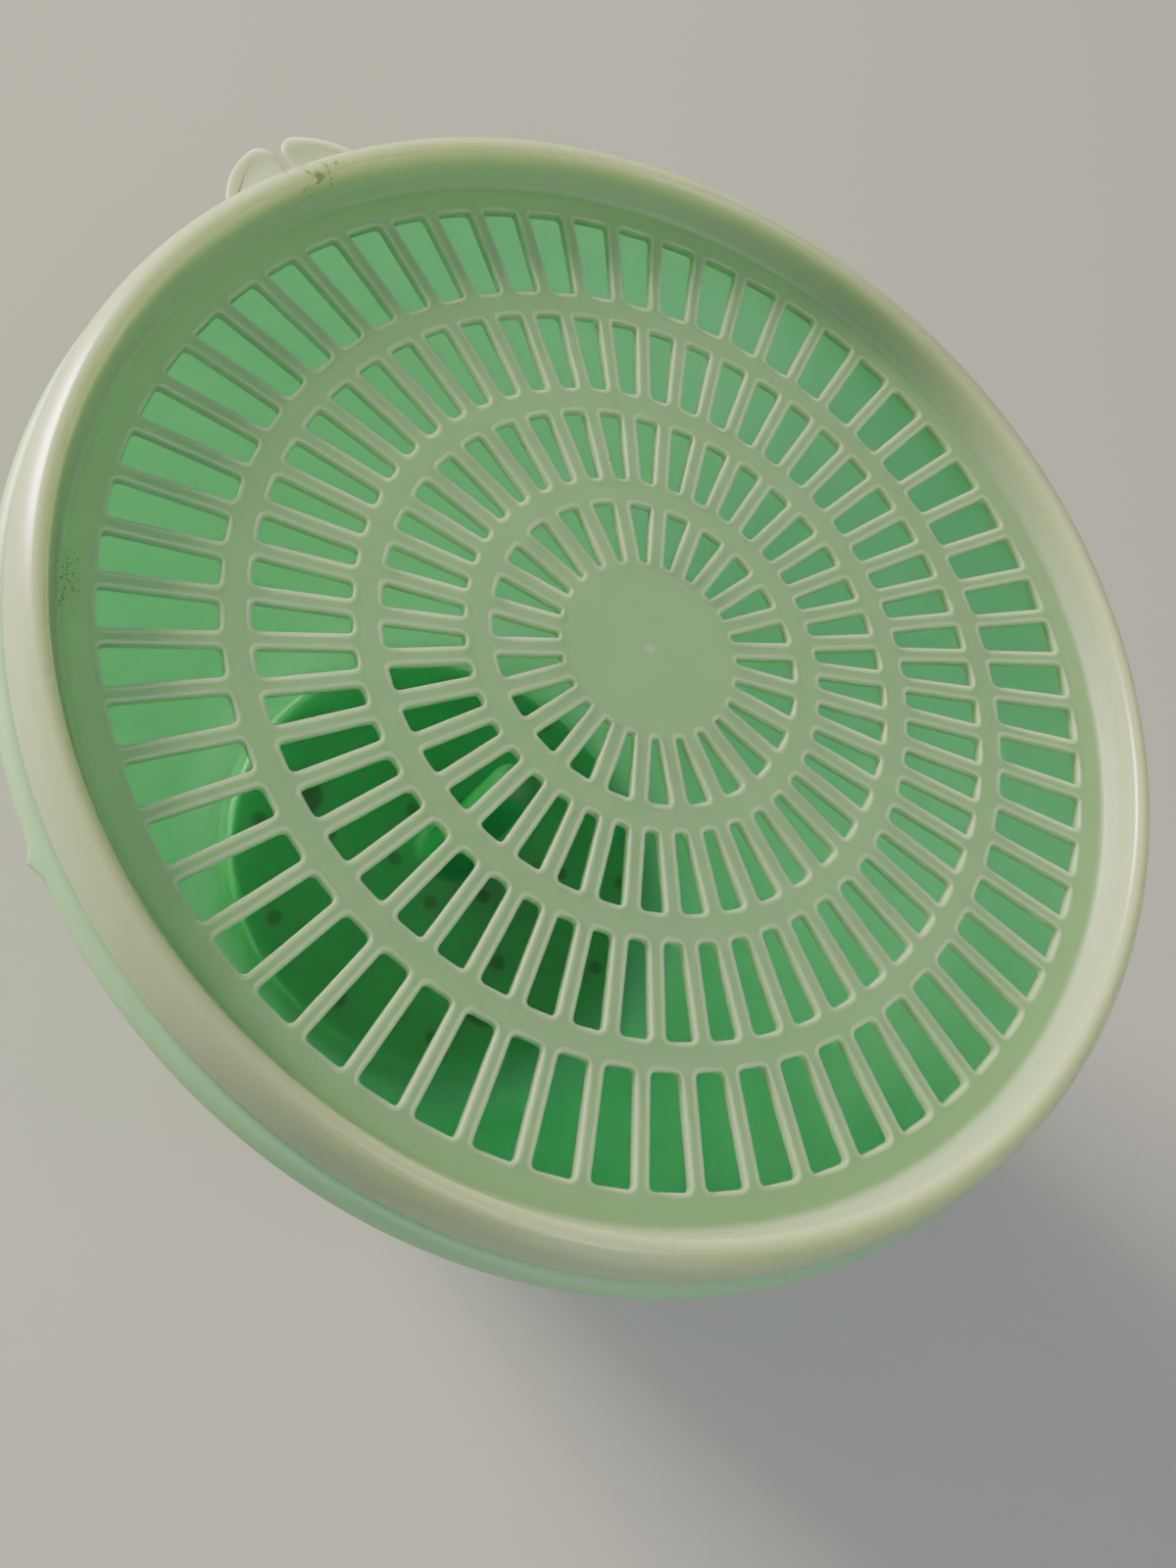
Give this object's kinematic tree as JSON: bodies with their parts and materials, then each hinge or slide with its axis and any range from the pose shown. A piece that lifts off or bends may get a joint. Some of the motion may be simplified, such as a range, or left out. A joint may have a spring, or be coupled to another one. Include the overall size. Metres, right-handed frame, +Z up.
{
  "type": "salad spinner",
  "caption": "Hand-spun salad spinner: green translucent bowl with a slotted press-on strainer lid, turning on a low ball-bearing base.",
  "frame": {"origin": "on the spinning axis, in the plane that the base's feet stand on", "axes": "+Z up along the spinning axis; the lid's pull tab points 129.75 degrees from +X towards +Y"},
  "size_m": [0.25, 0.25, 0.1635],
  "materials": {
    "green_pe": "moulded translucent polyethylene, soft sheen",
    "milky_pe": "moulded natural polyethylene, milky and waxy",
    "green_pp": "moulded polypropylene, fine matt texture",
    "dark_green_pp": "moulded polypropylene, satin",
    "grey_rubber": "moulded thermoplastic rubber, dull",
    "bright_steel": "ground",
    "polished_steel": "polished",
    "zinc_steel": "zinc plated",
    "spring_steel": "black oiled",
    "white_nylon": "moulded nylon, satin",
    "bronze": "sintered, oiled"
  },
  "bodies": {
    "base": {"base_shell": "green_pp", "base_cover": "green_pp", "cover_screws": "zinc_steel", "non_slip_feet": "grey_rubber", "spindle": "bright_steel", "spindle_washer": "zinc_steel", "spindle_nut": "zinc_steel", "thrust_washer": "white_nylon", "retaining_clip": "spring_steel", "lower_race": "bright_steel"},
    "bearing": {"ball_cage": "white_nylon", "bearing_balls": "polished_steel"},
    "turntable": {"upper_race": "bright_steel", "turntable_disc": "dark_green_pp", "lower_bushing": "bronze", "upper_bushing": "bronze", "boss_cap": "dark_green_pp", "grip_pads": "grey_rubber"},
    "bowl": {"bowl": "green_pe"},
    "lid": {"strainer_lid": "milky_pe"}
  },
  "joints": [
    {"name": "turntable_spin", "type": "hinge", "parent": "base", "child": "turntable", "pos_m": [0, 0, 0.0125], "axis": [0, 0, 1], "continuous": true},
    {"name": "ball_cage_roll", "type": "hinge", "parent": "base", "child": "bearing", "pos_m": [0, 0, 0.0125], "axis": [0, 0, 1], "continuous": true},
    {"name": "bowl_lift", "type": "slide", "parent": "turntable", "child": "bowl", "axis": [0, 0, 1], "range_m": [0, 0.08]},
    {"name": "lid_lift", "type": "slide", "parent": "bowl", "child": "lid", "axis": [0, 0, 1], "range_m": [0, 0.08]}
  ],
  "couplings": [
    {"joint": "ball_cage_roll", "follows": "turntable_spin", "ratio": 0.5}
  ]
}
